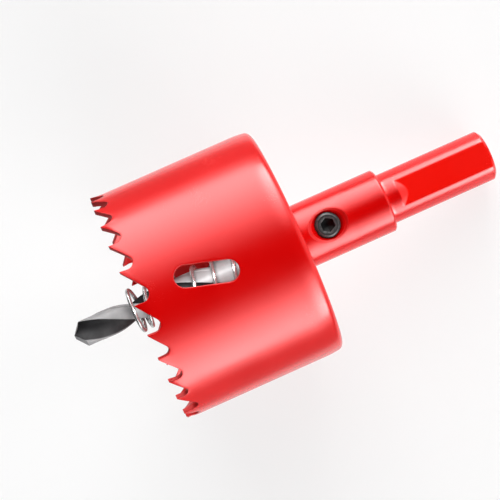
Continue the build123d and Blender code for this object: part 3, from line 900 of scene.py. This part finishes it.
def pilot_drill():
    skin = Skin()
    start = np.full(len(SECTION), POINT_Z + 1.5)
    for _ in range(30):  # settles where the section meets the flanks
        start = flank_height(SECTION, start)
    line_turn = CHISEL_TURN - 2 * math.pi * (start - POINT_Z) / LEAD
    direction = np.stack([np.cos(line_turn), np.sin(line_turn)], 1)
    reach = (SECTION * direction).sum(1)
    side = SECTION[:, 0] * direction[:, 1] > SECTION[:, 1] * direction[:, 0]
    on_land = np.hypot(*SECTION.T) > DRILL_R - 0.3
    beside = np.abs(reach) < CHISEL_HALF
    reach[beside & ~on_land] = np.copysign(CHISEL_HALF, reach[beside & ~on_land])
    for this_side in (side, ~side):  # spread in order along the chisel edge, so no faces cross
        between = np.flatnonzero(this_side & beside & on_land)
        in_order = between[np.argsort(reach[between])]
        reach[in_order] = np.linspace(-CHISEL_HALF, CHISEL_HALF, len(between) + 2)[1:-1]
    nearest = direction * np.clip(reach, -CHISEL_HALF, CHISEL_HALF)[:, None]

    rows = []
    for f in (0.0, 0.15, 0.4, 0.7, 0.93):
        inner = nearest + (SECTION - nearest) * f
        rows.append(skin.add(np.column_stack([turned(inner, start), flank_height(inner, start)]), flute=0.0))
    for f in (0.0, 0.12, 0.4, 0.7):
        z = start + (FULL_Z - start) * f
        rows.append(skin.add(np.column_stack([turned(SECTION, z), z]), flute=IN_FLUTE))
    even, fine = np.arange(FULL_Z, FLUTE_END - 5.6, 0.9), np.arange(FLUTE_END - 5.4, FLUTE_END, 0.22)
    for height in np.concatenate([even, fine]):
        floor = DRILL_R - (FLUTE_END - height) / FLUTE_RISE
        points = lift_floor(SECTION, min(floor, DRILL_R - MARGIN_STEP)) if floor > WEB else SECTION
        fade = np.clip((FLUTE_END - height) / 1.5, 0, 1)
        z = np.full(len(points), height)
        rows.append(skin.add(np.column_stack([turned(points, z), z]), flute=IN_FLUTE * fade))
    plain_turn = START_TURN + 2 * math.pi * (FLUTE_END - POINT_Z) / LEAD
    for z, flat in ((FLUTE_END + 0.1, 0), *TAIL):
        radius = DRILL_R if flat >= 0 else DRILL_R - 0.3
        at = polar(radius, plain_turn + np.arctan2(SECTION[:, 1], SECTION[:, 0]), z)
        if flat == 1:
            at[:, 0] = np.minimum(at[:, 0], DRILL_R - 0.375)
        rows.append(skin.add(at))
    skin.stack(rows)
    skin.fan(rows[-1], (0, 0, DRILL_END))
    return skin


def lift_floor(points, floor):
    """Section points pushed out to the rising floor, without folding back under the hollow's overhang."""
    lifted, rho = points.copy(), np.hypot(*points.T)
    d = -HOLLOW_CENTRE[1]
    cos_off = (floor**2 + d**2 - HOLLOW_R**2) / (2 * floor * d)
    meets = -math.pi / 2 - math.acos(np.clip(cos_off, -1, 1))
    for sign in (1, -1):
        angle = np.arctan2(*(points * sign).T[::-1])
        mine = (rho < floor) & (angle < 0) & (angle > -math.pi + 0.2)
        angle = np.maximum(angle, meets)
        pushed = floor * np.stack([np.cos(angle), np.sin(angle)], 1) * sign
        lifted[mine] = pushed[mine]
    return lifted


drill = make_piece("drill_finish", pilot_drill(), DRILL_STEEL, merge=0.002, sharp=30.0)
stand_for(drill, "pilot_drill")

# %% [markdown]
# ## The ejector spring
#
# The spring is one wire that follows a path: one flat coil at the mouth, then open coils that narrow onto
# the drill, and a closed coil on the collar. A circle carried along that path is just what Geometry Nodes'
# Curve to Mesh does, and the tree keeps each point's place along and round the wire for its scratches.

# %% The spring's path
WIRE_R, SPRING_TURNS, SPRING_FRONT_R = 0.5, 8.7, 5.0
SPRING_REAR_R = DRILL_R + 0.22 + WIRE_R
SPRING_START, SPRING_LEAN = math.radians(158), 0.5
POINTS_A_TURN, WIRE_SIDES = 64, 18


def spring_path():
    """A front coil that stays flat but leans, coils that open and narrow, and a closed rear coil."""
    front, rear = TIP_Z - 0.76, COLLAR_FACE - WIRE_R
    turns = np.linspace(0, SPRING_TURNS, int(SPRING_TURNS * POINTS_A_TURN) + 1)
    steps, middle = np.diff(turns), (turns[1:] + turns[:-1]) / 2
    shares = np.interp(middle, [0.6, 0.9, 1.5, 2.0, 3.2, 3.6, 7.3, 7.7], [0, 0.95, 0.95, 1.2, 1.2, 1, 1, 0])
    closed = 2 * WIRE_R * np.interp(middle, [7.3, 7.7], [0, 1])
    pitch = (rear - front - (closed * steps).sum()) / (shares * steps).sum()
    z = front + np.concatenate([[0], np.cumsum((pitch * shares + closed) * steps)])
    angle = SPRING_START - 2 * math.pi * turns
    z -= SPRING_LEAN * np.interp(turns, [0, 3.5], [1, 0]) * np.cos(angle)
    return polar(np.interp(turns, [0.6, 3.45], [SPRING_FRONT_R, SPRING_REAR_R]), angle, z)


def wire_tree():
    sizes = {"Wire radius": "Float", "Sides": "Int", "Finish": "Material"}
    tree, size, result = new_tree("coiled_wire", sizes)

    def keep(shape, name, value):
        """Stores a value on a curve's points."""
        return put(tree, "GeometryNodeStoreNamedAttribute", {"Geometry": shape, "Name": name, "Value": value},
                   data_type="FLOAT", domain="POINT").outputs[0]

    along = put(tree, "GeometryNodeSplineParameter").outputs
    path = put(tree, "GeometryNodeMeshToCurve", {0: size["Geometry"]}).outputs[0]
    path = keep(path, "along", along["Length"])
    ring = put(tree, "GeometryNodeCurvePrimitiveCircle",
               {"Resolution": size["Sides"], "Radius": size["Wire radius"]}, mode="RADIUS").outputs[0]
    ring = keep(ring, "around", maths(tree, "PINGPONG", along["Factor"], 0.5))
    wire = put(tree, "GeometryNodeCurveToMesh",
               {"Curve": path, "Profile Curve": ring, "Fill Caps": True}).outputs[0]
    return deliver(tree, wire, size, result)


def ejector_spring():
    line, path = spring_path(), bpy.data.meshes.new("spring_path")
    path.from_pydata(line.tolist(), [(i, i + 1) for i in range(len(line) - 1)], [])
    holder = bpy.data.objects.new("spring_path", path)
    wire = grow(holder, wire_tree(), {"Wire radius": WIRE_R, "Sides": WIRE_SIDES, "Finish": SPRING_STEEL})
    bpy.data.objects.remove(holder)
    skin = Skin()
    skin.add(np.array([v.co for v in wire.vertices]),
             along=read_value(wire, "along"), around=read_value(wire, "around"))
    skin.faces = [tuple(face.vertices) for face in wire.polygons]
    return skin


spring = make_piece("spring_finish", ejector_spring(), SPRING_STEEL)
stand_for(spring, "ejector_spring")

# %% [markdown]
# ## The set screw
#
# The screw is short, with a hexagon socket, a chamfered top and a fine thread whose first turn shows in
# the countersink. All of it fits on rows round the screw's own axis: the hexagon is a row whose radius
# changes with the angle, and the thread is a ridge that climbs by one pitch for each turn.

# %% The set screw
SCREW_R, SCREW_LENGTH, SCREW_SEAT, HEX_HALF = 2.95, 4.0, 2.8, 1.5
PITCH, THREAD_DEPTH = 1.0, 0.42


def set_screw():
    skin = Skin()
    angles = np.radians(np.arange(0, 360, 5.0))
    hexagon = HEX_HALF / np.cos((angles + math.radians(30)) % math.radians(60) - math.radians(30))

    def ring(radius, height, edge=0.0):
        y, z = radius * np.sin(angles), SCREW_Z + radius * np.cos(angles)
        return skin.add(np.stack(np.broadcast_arrays(SCREW_SEAT + height, y, z), 1), edge=edge)

    top = SCREW_LENGTH
    rows = [ring(radius, top - depth, edge) for radius, depth, edge in (
        (hexagon * 0.5, 2.25, 0.0), (hexagon, 2.0, 0.0), (hexagon, 0.16, 0.0), (hexagon + 0.05, 0.05, 1.0),
        (hexagon + 0.13, 0.0, 0.8), (2.3, 0.0, 0.0), (2.42, 0.01, 1.0), (2.5, 0.06, 0.8), (2.86, 0.42, 0.5),
    )]
    for height in np.arange(top - 0.5, 0.75, -0.1):
        wave = np.abs(((height / PITCH - angles / (2 * math.pi)) % 1.0) * 2 - 1)
        depth = THREAD_DEPTH * np.clip((wave - 0.18) / 0.7, 0, 1)
        rows.append(ring(SCREW_R - depth, height, np.clip(1 - depth * 6, 0, 1) * 0.6))
    rows.append(ring(2.15, 0.0))
    skin.stack(rows)
    skin.fan(rows[0], (SCREW_SEAT + top - 2.4, 0, SCREW_Z))
    skin.fan(rows[-1], (SCREW_SEAT, 0, SCREW_Z))
    return skin


screw = make_piece("screw_finish", set_screw(), SCREW_STEEL)
stand_for(screw, "set_screw")

# %% [markdown]
# ## The floor and the studio
#
# Gloss paint shows its surroundings, so the studio is shaped for what it looks like in the paint. A tent
# of white cloth arches over the tool. It is lit from both sides, so it glows most near the floor, fades
# as it rises, and is dark along its ridge. That draws one broad pale band along each flank of the cup and
# leaves the paint between them deep red. Lamps would draw bands with hard ends, so the tent is a world
# whose brightness rises smoothly with the direction round the tool's axis. The floor is opal plastic lit
# from below, as used for pictures without shadows. A little strip lamp hides in the cup behind its slot,
# because a picture of a hole saw has to show the drill and spring in there. A narrow arch behind the
# shank's end is lit too, and shows in rounded edges and in the sloping run-outs of the flats. Two grey
# cards beside the tool are seen in gloss alone: they paint a dim grey reflection into the paint where the
# bright floor would show, cast no shadow and stay hidden from the camera. Past the floor a camera sees a
# plain pale backdrop instead of the tent.

# %% The floor
WHITE, FLOOR_HALF = (1.0, 1.0, 1.0, 1.0), 1.6


def floor_finish():
    material, tree, shader, place = new_material("opal_floor")
    mottle, grain = noise(tree, place, 12.0, 4.0), noise(tree, place, 1500.0)
    feed(tree, shader, {"Base Color": blend_colours(tree, mottle, (0.20, 0.20, 0.20), (0.23, 0.23, 0.23)),
                        "Roughness": remap(tree, grain, 0.2, 0.8, 0.55, 0.7),
                        "Emission Color": WHITE, "Emission Strength": 0.74})
    bump(tree, shader, grain, 0.1, 0.00002)
    return material


def card(name, near, far, z, material):
    """A flat rectangle of the stage between two opposite corners."""
    (x0, y0), (x1, y1) = near, far
    mesh = bpy.data.meshes.new(name)
    mesh.from_pydata([(x0, y0, z), (x1, y0, z), (x1, y1, z), (x0, y1, z)], [], [(0, 1, 2, 3)])
    mesh.materials.append(material)
    obj = bpy.data.objects.new(name, mesh)
    bpy.context.scene.collection.objects.link(obj)
    return obj


floor = card("studio_floor", (-FLOOR_HALF, -FLOOR_HALF), (FLOOR_HALF, FLOOR_HALF), 0, floor_finish())
print("floor is", [round(v, 2) for v in floor.dimensions], "m")


# %% The light tent
TENT_SIDES = ((8, 85, 9.5), (-25, -88, 10.0))  # degrees from overhead: first glow, full glow; brightness
TENT_ENDS = (  # lean of the direction from the teeth to the shank, share of that brightness
    (-0.25, 0.0), (-0.12, 0.88), (0.07, 0.9), (0.11, 0.75), (0.18, 0.75), (0.23, 2.5), (0.35, 2.5),
    (0.42, 0.9), (0.85, 0.45), (1.0, 0.0),
)
# the lit arch: degrees from overhead and brightness, then its lean and share as above
ARCH = ((-75, 0.0), (-60, 1.1), (60, 1.1), (75, 0.0))
ARCH_ENDS = ((0.55, 0.0), (0.64, 1.0), (0.82, 1.0), (0.9, 0.0))
BACKDROP = 0.93  # what a camera sees past the floor, instead of the tent


def ramp_through(tree, value, stops):
    """A value that follows stops of (input, output)."""
    low, high, largest = stops[0][0], stops[-1][0], max(v for _, v in stops)
    node = put(tree, "ShaderNodeValToRGB", {0: remap(tree, value, low, high)})
    for index, (at, output) in enumerate(stops):
        place = (at - low) / (high - low)
        stop = node.color_ramp.elements[index] if index < 2 else node.color_ramp.elements.new(place)
        stop.position = place
        stop.color = (output / largest,) * 3 + (1.0,)
    return maths(tree, "MULTIPLY", node.outputs["Color"], largest)


def light_tent():
    world = bpy.data.worlds.new("light_tent")
    world.use_nodes = True
    tree = world.node_tree
    direction = put(tree, "ShaderNodeTexCoord").outputs["Generated"]

    def towards(axis):
        """How much of the direction points along an axis."""
        return put(tree, "ShaderNodeVectorMath", {0: direction, 1: tuple(axis)},
                   operation="DOT_PRODUCT").outputs["Value"]

    turn = maths(tree, "DEGREES", maths(tree, "ARCTAN2", towards((0.0, 1.0, 0.0)), towards(TO_SCREW)))
    lean = towards(TO_SHANK)
    left, right = (remap(tree, turn, start, full, 0.0, brightness, interpolation_type="SMOOTHSTEP")
                   for start, full, brightness in TENT_SIDES)
    sides = maths(tree, "MULTIPLY", maths(tree, "ADD", left, right), ramp_through(tree, lean, TENT_ENDS))
    arch = maths(tree, "MULTIPLY", ramp_through(tree, turn, ARCH), ramp_through(tree, lean, ARCH_ENDS))
    behind = put(tree, "ShaderNodeLightPath").outputs["Is Camera Ray"]
    glow = blend_values(tree, behind, maths(tree, "ADD", sides, arch), BACKDROP)
    background = next(n for n in tree.nodes if n.type == "BACKGROUND")
    feed(tree, background, {"Color": WHITE, "Strength": glow})
    return world


def lamp(name, place, aim, length, width, watts):
    """A rectangle of light at a tool point, facing another, its length along the tool."""
    light = bpy.data.lights.new(name, "AREA")
    light.shape, light.size, light.size_y, light.energy = "RECTANGLE", length, width, watts
    obj = bpy.data.objects.new(name, light)
    place, aim = Vector(lay_down([place])[0]), Vector(lay_down([aim])[0])
    back = (place - aim).normalized()
    side = back.cross(Vector(TO_SHANK)).normalized()
    turned_to = Matrix((side.cross(back), side, back)).transposed().to_4x4()
    obj.matrix_world = Matrix.Translation(place) @ turned_to
    obj.visible_camera = False
    bpy.context.scene.collection.objects.link(obj)
    return obj


# painted reflection: a dark card that glows a dim grey, seen only in gloss in place of the bright floor
def reflection_only_card():
    material, tree, shader, _ = new_material("reflection_only_card")
    feed(tree, shader, {"Base Color": (0.02, 0.02, 0.02, 1.0), "Specular IOR Level": 0.0,
                        "Emission Color": WHITE, "Emission Strength": 0.3})
    return material


FLAG_NEAR, FLAG_FAR, FLAG_HALF, FLAG_Z = 0.062, 0.26, 0.09, 0.001  # metres
flag_finish = reflection_only_card()
# painted reflection: these cards show only in gloss, as a dim grey reflection beside the tool
for name, side in (("left_flag", 1), ("right_flag", -1)):
    near, far = sorted((side * FLAG_NEAR, side * FLAG_FAR))
    flag = card(name, (-FLAG_HALF, near), (FLAG_HALF, far), FLAG_Z, flag_finish)
    flag.visible_camera = flag.visible_diffuse = flag.visible_shadow = flag.visible_transmission = False
lamp("cup_lamp", (24.8, 0, -25), (0, 0, -25), 0.024, 0.008, 0.018)
bpy.context.scene.world = light_tent()
bpy.context.scene.view_settings.view_transform = "Standard"
print("light tent with", len(TENT_SIDES), "bright sides")

# %% [markdown]
# ## The camera
#
# A long lens a good third of a metre away keeps the turned shapes calm. It looks down past the tool's
# back, rolled so that the shank rises to the right.

# %% The camera
camera_data = bpy.data.cameras.new("camera")
camera_data.sensor_width = 36.0
camera_data.lens = 122.156
camera = bpy.data.objects.new("camera", camera_data)
right, up, back = (
    (0.8526843, -0.4067541, -0.3278423),
    (0.3817320, 0.9135223, -0.1405618),
    (0.3566654, -0.0052930, 0.9342172),
)
camera.matrix_world = Matrix.Translation((0.1320457, -0.0000322, 0.3945618)) @ Matrix(
    [[right[i], up[i], back[i]] for i in range(3)]).to_4x4()
bpy.context.scene.collection.objects.link(camera)
bpy.context.scene.camera = camera
print("camera", [round(v, 3) for v in camera.location], "lens", camera_data.lens, "mm")
